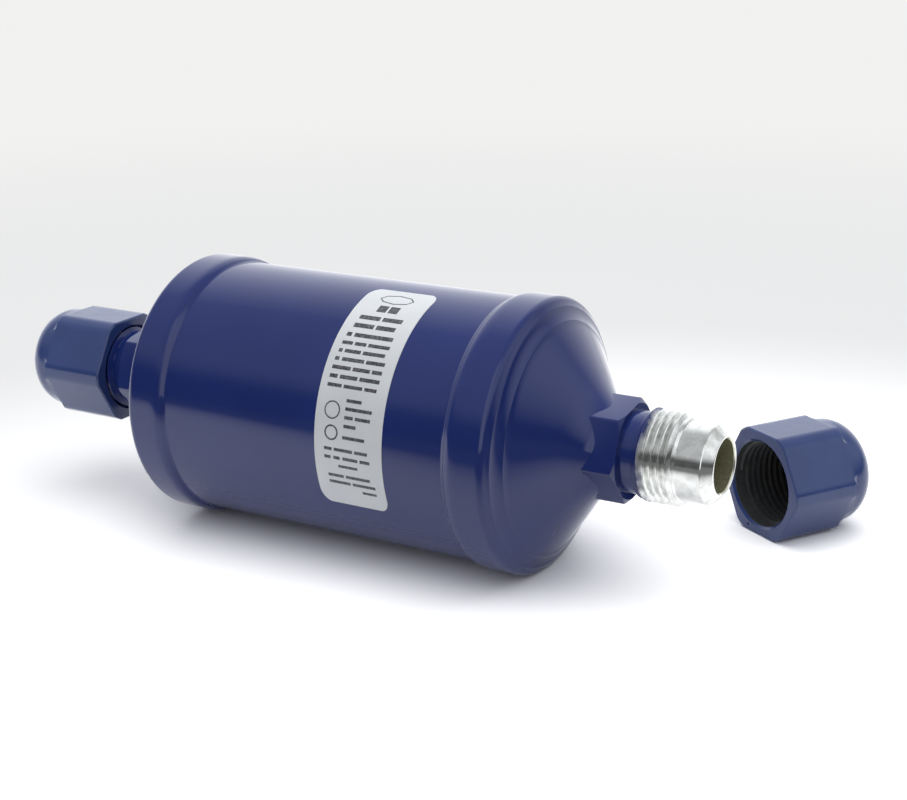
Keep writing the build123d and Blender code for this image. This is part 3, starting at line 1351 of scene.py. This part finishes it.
# ---------------------------------------------------------------- screw caps
@dataclass
class ScrewCap:
    """A moulded hexagon cap, modelled with its rim at x = 0 and its closed end at +X."""

    plastic: Finish
    rubber: Finish
    flat: float = 13.8 * MM
    hex_length: float = 20.5 * MM
    ramp: float = 1.7 * MM
    barrel_r: float = 13.6 * MM
    length: float = 27.9 * MM
    dome_r: float = 6.7 * MM
    bore_r: float = 11.2125 * MM
    mouth_chamfer: float = 0.6 * MM
    top_wall: float = 3.0 * MM
    core_r: float = 7.6 * MM
    shoulder_depth: float = 20.0 * MM
    rim_round: float = 0.4 * MM
    rim_x: float = 78.338 * MM
    # thickness of the black sleeve of painted shade inside the bore
    shade_sleeve: float = 0.35 * MM
    corner_cut: float = 1.84 * MM
    corner_bulge: float = 0.31
    flat_cuts: int = 11
    long_edge: float = 3 * MM
    rim_ring: float = 1.5 * MM
    ramp_ring: float = 0.5 * MM
    dome_steps: int = 16
    least_step: float = 0.05 * MM
    nib_r: float = 1.3 * MM
    nib_floor_r: float = 1.0 * MM
    nib_depth: float = 0.25 * MM
    rim_inset: float = 0.974
    mouth_land: float = 0.35 * MM
    bore_step: float = 0.05 * MM
    margin: float = 0.4 * MM
    sleeve_front: float = 0.12 * MM
    sleeve_round: float = 0.12 * MM
    sleeve_past: float = 0.1 * MM
    ridge_turns: int = 7
    ridge_steps: int = 64
    ridge_after: float = 1.2 * MM
    ridge_foot: Station = (0.46 * MM, 0.12 * MM)
    ridge_crest: Station = (0.13 * MM, -0.78 * MM)
    pit_angle: float = math.radians(-72)
    pit_x: float = 0.1 * MM
    pit_mouth_r: float = 0.42 * MM
    pit_floor_r: float = 0.30 * MM
    pit_length: float = 1.2 * MM

    def outline(self) -> Piece:
        """Draw the hexagon's section, its corners cut to round lands, as one open ring.

        Returns:
            The open ring.
        """
        obj = ring("cap_wall", 0.0, self.flat / math.cos(HEX_SLOPE), 6, 0.0, "NGON")
        edit(obj)
        bpy.ops.mesh.bevel(offset=self.corner_cut, segments=4, affect="VERTICES", profile=self.corner_bulge)
        select_only(obj, lambda edge: edge.calc_length() > self.long_edge)
        bpy.ops.mesh.subdivide(number_cuts=self.flat_cuts)
        edit(obj, "FACE")
        bpy.ops.mesh.delete(type="ONLY_FACE")
        start_fresh()
        return obj

    def round_up(self, obj: Piece, radius: float) -> None:
        """Bring the selected ring to a true circle about the axis.

        Args:
            obj: The mesh, in edit mode.
            radius: The circle's radius.
        """
        mesh = bmesh.from_edit_mesh(obj.data)
        for vertex in mesh.verts:
            if vertex.select:
                reach = math.hypot(vertex.co.y, vertex.co.z)
                vertex.co.y *= radius / reach
                vertex.co.z *= radius / reach
        bmesh.update_edit_mesh(obj.data)

    def wall(self) -> Piece:
        """Build the cap's wall from its section: hexagon, ramps, dome, mouth, bore and core.

        Returns:
            The closed wall.
        """
        obj = self.outline()
        edit(obj, "EDGE")
        shoulder = self.hex_length - self.ramp
        extrude(0.0)
        bpy.ops.transform.translate(value=(self.rim_round, 0, 0))
        x = self.rim_round
        for at in (self.rim_ring, 0.5 * shoulder, shoulder - self.ramp_ring, shoulder):
            extrude(at - x)
            x = at
        extrude(self.hex_length - x)
        self.round_up(obj, self.barrel_r)
        centre_x = self.length - self.dome_r
        centre_r = self.barrel_r - self.dome_r
        radius, x = self.barrel_r, self.hex_length
        for step in range(1, self.dome_steps + 1):
            angle = math.pi / 2 * step / self.dome_steps
            at = centre_x + self.dome_r * math.sin(angle)
            reach = centre_r + self.dome_r * math.cos(angle)
            if at <= x + self.least_step:
                continue
            extrude(at - x, reach / radius)
            x, radius = at, reach
        floor = self.length - self.nib_depth
        draw_out([(x, radius), (self.length, self.nib_r), (floor, self.nib_floor_r), (floor, TIP_RADIUS)])
        select_loop_at(obj, 0.0)
        self.inner_wall(obj)
        close_up(obj)
        return obj

    def inner_wall(self, obj: Piece) -> None:
        """Draw the rim, mouth, bore and core from the ring selected at the rim.

        Args:
            obj: The mesh, in edit mode.
        """
        swell(self.rim_inset)
        extrude(0.0)
        mouth, bore = self.bore_r + self.mouth_chamfer, self.bore_r + self.shade_sleeve
        self.round_up(obj, mouth + self.mouth_land)
        path = [
            (0.0, mouth + self.mouth_land),
            (0.0, mouth),
            (self.mouth_chamfer, self.bore_r),
            (self.mouth_chamfer + self.bore_step, bore),
            (self.shoulder_depth, bore),
            (self.shoulder_depth, self.core_r),
            (self.length - self.top_wall, self.core_r),
            (self.length - self.top_wall, TIP_RADIUS),
        ]
        draw_out(supported(path, self.margin))

    def thread_ridge(self) -> Piece:
        """Build the ridge of the moulded inner thread, which runs in the fitting's groove.

        Returns:
            The ridge.
        """
        first = FlareFitting.groove_at - self.rim_x
        while first < self.ridge_after:
            first += PITCH
        (foot, sunk), (crest, height) = self.ridge_foot, self.ridge_crest
        profile = [
            (first - foot, self.bore_r + sunk),
            (first - crest, self.bore_r + height),
            (first + crest, self.bore_r + height),
            (first + foot, self.bore_r + sunk),
        ]
        obj = helix("ridge", profile, self.ridge_turns, self.ridge_steps, True)
        select_only(obj, lambda edge: edge.is_boundary)
        bpy.ops.mesh.edge_face_add()
        close_up(obj)
        return obj

    def build(
        self,
        node: str,
        body: str,
        yaw: float,
        at: Sequence[float],
        dimple: bool = False,
    ) -> None:
        """Build one cap at its place.

        Args:
            node: The node it stands for.
            body: The body it rides on.
            yaw: The way its closed end points, from +X.
            at: The middle of its rim.
            dimple: Whether its rim has a moulding pit.
        """
        wall = name_it(self.wall(), f"{node}_moulded")
        if dimple:
            self.pit_rim(wall)
        place(wall, yaw, at)
        shade(wall, math.radians(26))
        dress(wall, self.plastic, body, "cap_plastic", node)
        # painted shade: a thin black sleeve and the thread ridge, in the seals' rubber finish, darken the
        # inside of the bore
        shade_sleeve = join(f"{node}_lining", [self.sleeve(), self.thread_ridge()])
        place(shade_sleeve, yaw, at)
        shade(shade_sleeve)
        dress(shade_sleeve, self.rubber, body, "seal_rubber")

    def sleeve(self) -> Piece:
        """Build the thin dark sleeve that stands just proud of the wall's bore: painted shade inside the
        blue bore.

        Returns:
            The sleeve.
        """
        front, back = self.mouth_chamfer + self.sleeve_front, self.shoulder_depth + self.sleeve_past
        outside = self.bore_r + self.shade_sleeve + self.bore_step
        profile = [(front, outside), (front, self.bore_r), (back, self.bore_r), (back, outside)]
        rounds = [(front, self.bore_r, self.sleeve_round)]
        return turned("sleeve", profile, rounds, points=96, segments=3)

    def pit_rim(self, wall: Piece) -> None:
        """Cut the small pit that the mould leaves in the rim.

        Args:
            wall: The cap's wall.
        """
        start_fresh()
        middle = (self.flat + self.bore_r + self.mouth_chamfer) / 2
        bpy.ops.mesh.primitive_cone_add(
            vertices=20,
            radius1=self.pit_mouth_r,
            radius2=self.pit_floor_r,
            depth=self.pit_length,
            location=(self.pit_x, middle * math.cos(self.pit_angle), middle * math.sin(self.pit_angle)),
            rotation=(0, math.pi / 2, 0),
        )
        combine(wall, settle(bpy.context.object), "DIFFERENCE")


@dataclass
class CapSeal:
    """The rubber disc in a cap, with the ring that the flare nose presses in it."""

    rubber: Finish
    face: float = 17.75 * MM
    thickness: float = 2.2 * MM
    radius: float = 11.1625 * MM
    groove_low: float = 5.95 * MM
    groove_high: float = 8.05 * MM
    groove_depth: float = 0.5 * MM
    edge_round: float = 0.25 * MM
    groove_round: float = 0.12 * MM

    def build(self, node: str, body: str, yaw: float, at: Sequence[float]) -> None:
        """Build one seal at its cap's place.

        Args:
            node: The node it stands for.
            body: The body it rides on.
            yaw: The way the closed end points, from +X.
            at: The middle of the cap's rim.
        """
        back = self.face + self.thickness
        bottom = self.face + self.groove_depth
        profile = [
            (self.face, 0.0),
            (self.face, self.groove_low),
            (bottom, self.groove_low),
            (bottom, self.groove_high),
            (self.face, self.groove_high),
            (self.face, self.radius),
            (back, self.radius),
            (back, 0.0),
        ]
        rounds = [
            (self.face, self.radius, self.edge_round),
            (self.face, self.groove_low, self.groove_round),
            (self.face, self.groove_high, self.groove_round),
        ]
        obj = turned(f"{node}_rubber", profile, rounds, margin=0.5 * MM, points=96, segments=3)
        place(obj, yaw, at)
        shade(obj)
        dress(obj, self.rubber, body, "seal_rubber", node)


# ---------------------------------------------------------------- rating label
class Mark(Enum):
    """The plain shapes that stand on the label, by how many corners they have."""

    BAR = 4
    RING = 40
    LOZENGE = 8


@dataclass
class RatingLabel:
    """The label film on the tube, with rows of plain bars and a few simple shapes."""

    satin: Finish
    printed: Finish
    start_x: float = 5.3 * MM
    width: float = 19.0 * MM
    low: float = math.radians(-26)
    arc: float = math.radians(108)
    corner_r: float = 2.6 * MM
    thickness: float = 0.12 * MM
    tube_outer: float = Shell.tube_outer
    ink_lift: float = 0.012 * MM

    def film(self) -> Piece:
        """Build the film: a thin strip spun round the tube, cut to its rounded outline.

        Returns:
            The dressed film.
        """
        start_fresh()
        inner, outer = self.tube_outer, self.tube_outer + self.thickness
        middle_x = self.start_x + self.width / 2
        bpy.ops.mesh.primitive_plane_add(size=1, location=(middle_x, -(inner + outer) / 2, 0))
        obj = name_it(bpy.context.object, "rating_label_film")
        obj.scale = (self.width, outer - inner, 1)
        settle(obj)
        obj.rotation_euler.x = -self.low
        settle(obj)
        edit(obj, "FACE")
        bpy.ops.mesh.spin(steps=72, angle=self.arc, center=(0, 0, 0), axis=(1, 0, 0))
        close_up(obj)
        half_chord = outer * math.sin(self.arc / 2)
        bpy.ops.mesh.primitive_cube_add(size=1, location=(middle_x, -outer, 0))
        block = bpy.context.object
        block.scale = (self.width, 2 * outer, 2 * half_chord)
        settle(block)
        select_only(block, lambda edge: abs(edge.verts[0].co.y - edge.verts[1].co.y) > outer)
        bpy.ops.mesh.bevel(offset=self.corner_r, segments=10, affect="EDGES")
        start_fresh()
        block.rotation_euler.x = -(self.low + self.arc / 2)
        settle(block)
        combine(obj, block, "INTERSECT")
        shade(obj)
        return dress(obj, self.satin, "drier", "label_film", "rating_label")

    def mark(
        self, kind: Mark, x: float, angle: float, wide: float, tall: float, line: float = 0.0
    ) -> Piece:
        """Lay one flat shape on the label.

        Args:
            kind: Which shape.
            x: Its middle, from the label's left edge.
            angle: Its middle, in degrees above the front.
            wide: Its size along the tube.
            tall: Its size round the tube.
            line: The thickness of an outline.

        Returns:
            The shape, before it is pressed on to the film.
        """
        start_fresh()
        if kind is Mark.BAR:
            bpy.ops.mesh.primitive_grid_add(x_subdivisions=1, y_subdivisions=3, size=1)
        else:
            bpy.ops.mesh.primitive_circle_add(vertices=kind.value, radius=0.5, fill_type="NGON")
        obj = bpy.context.object
        obj.scale = (wide, tall, 1)
        settle(obj)
        if line:
            edit(obj, "FACE")
            bpy.ops.mesh.inset(thickness=line)
            bpy.ops.mesh.delete(type="FACE")
            start_fresh()
        obj.rotation_euler.x = math.radians(90)
        obj.location = (self.start_x + x, -(self.tube_outer + self.thickness + self.ink_lift), 0)
        settle(obj)
        obj.rotation_euler.x = -math.radians(angle)
        return settle(obj)

    def rows(self) -> list[tuple[float, float, list[float]]]:
        """The rows of print: angle of the middle, height, and the bars' ends in turn.

        Returns:
            The rows, from the top down, in degrees and mm.
        """
        return [
            (66.5, 2.5, [6.4, 9.0, 9.6, 12.2]),
            (60.2, 1.35, [3.2, 9.0, 9.7, 15.2]),
            (55.4, 1.35, [3.0, 8.6, 9.3, 14.6]),
            (50.4, 1.15, [2.4, 3.8, 4.6, 15.4]),
            (46.2, 0.95, [2.2, 5.2, 5.8, 9.0, 9.6, 15.6]),
            (42.4, 0.95, [2.2, 3.2, 3.9, 8.4, 9.0, 15.2]),
            (38.6, 0.95, [2.0, 3.2, 4.0, 10.2, 10.8, 16.0]),
            (34.8, 0.95, [2.0, 7.2, 7.8, 12.6, 13.2, 16.0]),
            (31.0, 0.95, [2.0, 4.2, 4.9, 9.8, 10.4, 16.0]),
            (27.2, 0.85, [2.0, 6.0, 6.6, 11.8, 12.4, 15.8]),
            (21.6, 0.80, [8.2, 12.4]),
            (18.2, 0.80, [8.2, 15.6]),
            (14.6, 0.80, [8.2, 10.6, 11.2, 15.4]),
            (11.0, 0.80, [8.2, 11.6]),
            (6.2, 0.80, [8.0, 14.2]),
            (0.6, 0.80, [2.8, 5.0, 5.6, 10.8, 11.4, 15.0]),
            (-3.0, 0.80, [2.8, 4.6, 5.4, 7.2, 8.0, 12.2, 12.8, 15.6]),
            (-6.6, 0.70, [6.6, 12.0]),
            (-11.2, 0.80, [3.4, 7.8, 8.4, 15.2]),
            (-14.4, 0.80, [3.4, 9.4, 10.0, 16.4]),
            (-17.8, 0.70, [12.4, 16.4]),
        ]

    def ink(self, film: Piece) -> None:
        """Lay all the shapes, press them on to the film and give them a thickness.

        Args:
            film: The film under it.
        """
        marks = [
            self.mark(Mark.LOZENGE, 9.3 * MM, 74.0, 9.6 * MM, 4.2 * MM, 0.32 * MM),
            self.mark(Mark.RING, 4.6 * MM, 17.0, 4.4 * MM, 4.4 * MM, 0.34 * MM),
            self.mark(Mark.RING, 4.8 * MM, 7.6, 3.8 * MM, 3.8 * MM, 0.42 * MM),
        ]
        for angle, tall, ends in self.rows():
            for left, right in zip(ends[::2], ends[1::2]):
                middle, wide = (left + right) / 2 * MM, (right - left) * MM
                marks.append(self.mark(Mark.BAR, middle, angle, wide, tall * MM))
        obj = join("rating_label_print", marks)
        wrap = obj.modifiers.new("press_on", "SHRINKWRAP")
        wrap.target = film
        wrap.wrap_method = "NEAREST_SURFACEPOINT"
        wrap.wrap_mode = "ABOVE_SURFACE"
        wrap.offset = self.ink_lift
        solid = obj.modifiers.new("ink_depth", "SOLIDIFY")
        solid.thickness = self.ink_lift
        solid.offset = 1.0
        apply_modifiers(obj)
        close_up(obj)
        dress(obj, self.printed, "drier", "label_film")

    def build(self) -> None:
        """Build the whole label."""
        self.ink(self.film())


# ---------------------------------------------------------------- filter stack
@dataclass
class FilterStack:
    """The pieces inside the shell, which keep their CAD shape and get their own finishes."""

    def build(self) -> None:
        """Dress every node of the stack."""
        steel = Plain("pressed_steel", (0.42, 0.43, 0.44), (0.30, 0.31, 0.32), 500.0, 0.38, 1.0, 0.004 * MM)
        spring = Plain(
            "drawn_spring_wire", (0.40, 0.39, 0.37), (0.27, 0.25, 0.22), 700.0, 0.32, 1.0, 0.006 * MM
        )
        glass = Plain("glass_felt", (0.78, 0.74, 0.60), (0.58, 0.52, 0.38), 1100.0, 0.9, 0.0, 0.25 * MM)
        braze = Plain("brazed_joint", (0.55, 0.33, 0.15), (0.34, 0.20, 0.10), 600.0, 0.42, 1.0, 0.03 * MM)
        finishes = [
            ("plate_steel", steel.make(), "outlet_support_plate", "inlet_pressure_plate"),
            ("spring_steel", spring.make(), "compression_spring"),
            ("glass_fibre", glass.make(), "outlet_filter_pad", "inlet_filter_pad"),
            ("braze_alloy", braze.make(), "outlet_braze_ring", "inlet_braze_ring"),
            ("desiccant_beads", Beads().make(), "desiccant_bed"),
            ("screen_wire", WovenWire().make(), "outlet_mesh_screen"),
        ]
        for slot, material, *names in finishes:
            for name in names:
                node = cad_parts[name]
                coat(node, material)
                LOG.info("%s keeps its shape and gets %s", name, material.name)


# ---------------------------------------------------------------- studio
@dataclass
class Studio:
    """The pale floor, the soft light and the camera."""

    floor_half: float = 4.0
    floor_gap: float = 0.02 * MM
    backdrop: Triple = (0.885, 0.885, 0.875)
    floor_tint: Triple = (1.0, 0.997, 0.99)
    bright_spot: Triple = (0.10, -0.08, -34.17 * MM)
    # painted pool of light: near the object the camera sees the floor's colour raised past white
    painted_light_pool: Fade = Fade(0.08, 0.34, 1.34, 0.68)
    far_off: Fade = Fade(0.30, 0.75)
    # painted shade: other rays see the floor darken towards the camera
    painted_front_shade: Fade = Fade(0.05, 0.17, 0.89, 0.12)
    # painted reflection: the floor is lighter where mirrored rays see it
    painted_reflection_gain: float = 1.35
    sky: Triple = (0.97, 0.98, 1.0)
    sky_rise: Fade = Fade(0.05, 0.90, 0.14, 1.35)
    mirrored_sky: Triple = (0.95, 0.97, 1.0)
    room_front: Fade = Fade(0.22, 0.50, 0.10, 0.55)
    room_right: Fade = Fade(0.30, 0.90, 0.0, 0.60)
    room_above: Fade = Fade(0.08, 0.30)
    room_behind: Fade = Fade(-0.10, 0.95, 0.0, 1.45)
    window_side: Fade = Fade(0.24, 0.50, 1.0, 0.0)
    window_front: Fade = Fade(-0.45, -0.20, 1.25, 0.0)
    camera_at: Triple = (0.235135, -0.355324, 0.135395)
    yaw: float = -0.535
    pitch: float = 0.305
    roll: float = -0.015
    focal_px: float = 1746.4
    picture_px: float = 907.0
    sensor: float = 36.0

    @property
    def ahead(self) -> Triple:
        """The level direction in which the camera looks."""
        return math.sin(self.yaw), math.cos(self.yaw), 0.0

    @property
    def level(self) -> Triple:
        """The level direction to the camera's right."""
        return math.cos(self.yaw), -math.sin(self.yaw), 0.0

    def floor(self) -> None:
        """Lay the floor, which fades to the backdrop's colour far from the object.

        The camera sees a painted pool of light near the object. Other rays meet a matt floor that is pale
        round the object, with painted shade towards the camera and a painted reflection a little lighter
        where it is mirrored.
        """
        start_fresh()
        bpy.ops.mesh.primitive_circle_add(
            vertices=96,
            radius=self.floor_half,
            fill_type="NGON",
            location=(0, 0, FLOOR_Z - self.floor_gap),
        )
        obj = name_it(bpy.context.object, "studio_floor")
        settle(obj)
        material = bpy.data.materials.new("studio_floor")
        graph = Graph(material)
        graph.nodes.clear()
        place_seen = graph.add("TexCoord").outputs["Object"]
        camera = graph.ray("Camera")
        towards = graph.measure("DOT_PRODUCT", place_seen, tuple(-part for part in self.ahead))
        # painted shade: the matt floor's colour darkens towards the camera
        pale = graph.fade(towards, self.painted_front_shade, True)
        # painted reflection: the floor's colour is raised for mirrored rays
        lift = graph.combine("MULTIPLY_ADD", graph.ray("Glossy"), self.painted_reflection_gain - 1, 1.0)
        matt = graph.shader("BsdfDiffuse", graph.combine("MULTIPLY", pale, lift))
        # painted pool of light: the floor's colour as the camera sees it, raised near the object
        painted_pool_colour = graph.add("VectorMath", operation="SCALE")
        painted_pool_colour.inputs[0].default_value = self.floor_tint
        away = graph.measure("DISTANCE", place_seen, self.bright_spot)
        graph.wire(painted_pool_colour.inputs["Scale"], graph.fade(away, self.painted_light_pool, True))
        near = graph.mix(camera, matt, graph.shader("BsdfDiffuse", painted_pool_colour.outputs[0]))
        reach = graph.fade(graph.measure("LENGTH", place_seen), self.far_off, True)
        share = graph.combine("MULTIPLY", reach, camera)
        graph.end("OutputMaterial", graph.mix(share, near, graph.shader("Emission", self.backdrop)))
        coat(obj, material)

    def world(self) -> None:
        """Set the room: a pale backdrop to look at, even light, and a room for mirrored rays.

        Mirrored rays see a bright room behind the object, a softer right side, a dim front and a pale
        window round the camera.
        """
        world = bpy.data.worlds.new("studio_room")
        bpy.context.scene.world = world
        graph = Graph(world)
        graph.nodes.clear()
        direction = graph.add("TexCoord").outputs["Generated"]
        height = graph.split(direction, "Z")
        behind = graph.measure("DOT_PRODUCT", direction, self.ahead)
        offset = graph.combine("ABSOLUTE", graph.measure("DOT_PRODUCT", direction, self.level))
        window = graph.combine(
            "MULTIPLY",
            graph.fade(offset, self.window_side, True),
            graph.fade(behind, self.window_front, True),
        )
        right = graph.combine(
            "MULTIPLY_ADD",
            graph.fade(graph.split(direction, "X"), self.room_right, True),
            graph.fade(height, self.room_above, True),
            graph.fade(height, self.room_front, True),
        )
        bright = graph.combine("MAXIMUM", right, graph.fade(behind, self.room_behind, True))
        bright = graph.combine("MAXIMUM", bright, window)
        mirrored = graph.shader("Background", self.mirrored_sky, bright)
        ambient = graph.shader("Background", self.sky, graph.fade(height, self.sky_rise))
        gloss = graph.combine("MAXIMUM", graph.ray("Glossy"), graph.ray("Transmission"))
        unseen = graph.mix(gloss, ambient, mirrored)
        seen = graph.shader("Background", self.backdrop)
        graph.end("OutputWorld", graph.mix(graph.ray("Camera"), unseen, seen))

    def softbox(
        self, name: str, at: Sequence[float], aim: Sequence[float], size: Sequence[float], watts: float
    ) -> None:
        """Hang one soft light and point it.

        Args:
            name: The light's name.
            at: Where it hangs.
            aim: Where it points.
            size: Its width and height.
            watts: Its power.
        """
        data = bpy.data.lights.new(name, "AREA")
        data.shape = "RECTANGLE"
        data.size, data.size_y = size
        data.energy = watts
        lamp = bpy.data.objects.new(name, data)
        lamp.visible_glossy = False
        bpy.context.scene.collection.objects.link(lamp)
        lamp.location = at
        lamp.rotation_euler = (Vector(aim) - Vector(at)).to_track_quat("-Z", "Y").to_euler()

    def camera(self) -> None:
        """Stand the camera."""
        data = bpy.data.cameras.new("studio_camera")
        data.sensor_width = self.sensor
        data.lens = self.focal_px / self.picture_px * self.sensor
        data.clip_start, data.clip_end = 0.01, 20.0
        obj = bpy.data.objects.new("studio_camera", data)
        bpy.context.scene.collection.objects.link(obj)
        forward = Vector(self.ahead) * math.cos(self.pitch) - Vector((0, 0, math.sin(self.pitch)))
        level = Vector(self.level)
        upright = level.cross(forward)
        right = level * math.cos(self.roll) + upright * math.sin(self.roll)
        up = upright * math.cos(self.roll) - level * math.sin(self.roll)
        turn = Matrix((right, up, -forward)).transposed()
        obj.matrix_world = Matrix.Translation(self.camera_at) @ turn.to_4x4()
        bpy.context.scene.camera = obj

    def build(self) -> None:
        """Set up the whole studio."""
        bpy.context.scene.view_settings.view_transform = "Standard"
        self.floor()
        self.world()
        self.softbox("overhead_softbox", (-0.05, 0.05, 0.85), (0, 0, 0), (1.3, 1.1), 3.2)
        self.camera()


def build_caps(plastic: Finish, rubber: Finish) -> None:
    """Build the cap that is screwed on, the cap that lies loose, and both seals.

    Args:
        plastic: The caps' finish.
        rubber: The seals' finish.
    """
    cap, seal = ScrewCap(plastic, rubber), CapSeal(rubber)
    seated = (-cap.rim_x, 0.0, 0.0)
    cap.build("inlet_cap", "inlet_cap", math.pi, seated)
    seal.build("inlet_cap_seal", "inlet_seal", math.pi, seated)
    cap.build("outlet_cap", "drier", LOOSE_YAW, LOOSE_AT, dimple=True)
    seal.build("outlet_cap_seal", "drier", LOOSE_YAW, LOOSE_AT)


def main() -> None:
    """Build every piece in order."""
    logging.basicConfig(level=logging.INFO, format="%(name)s: %(message)s")
    paint = ShellPaint().make()
    plates = {
        End.OUTLET: PlatedSteel().make(),
        End.INLET: PlatedSteel("zinc_plate_overspray", paint_edge=OVERSPRAY_EDGE).make(),
    }
    Shell(paint).build()
    for end, plate in plates.items():
        FlareFitting(paint, plate).build(end)
    rubber = Plain("black_rubber", (0.028, 0.030, 0.031), (0.044, 0.046, 0.047), 900.0, 0.55)
    build_caps(CapPlastic().make(), rubber.make())
    RatingLabel(LabelFilm().make(), PrintInk().make()).build()
    FilterStack().build()
    Studio().build()


if __name__ == "__main__":
    main()
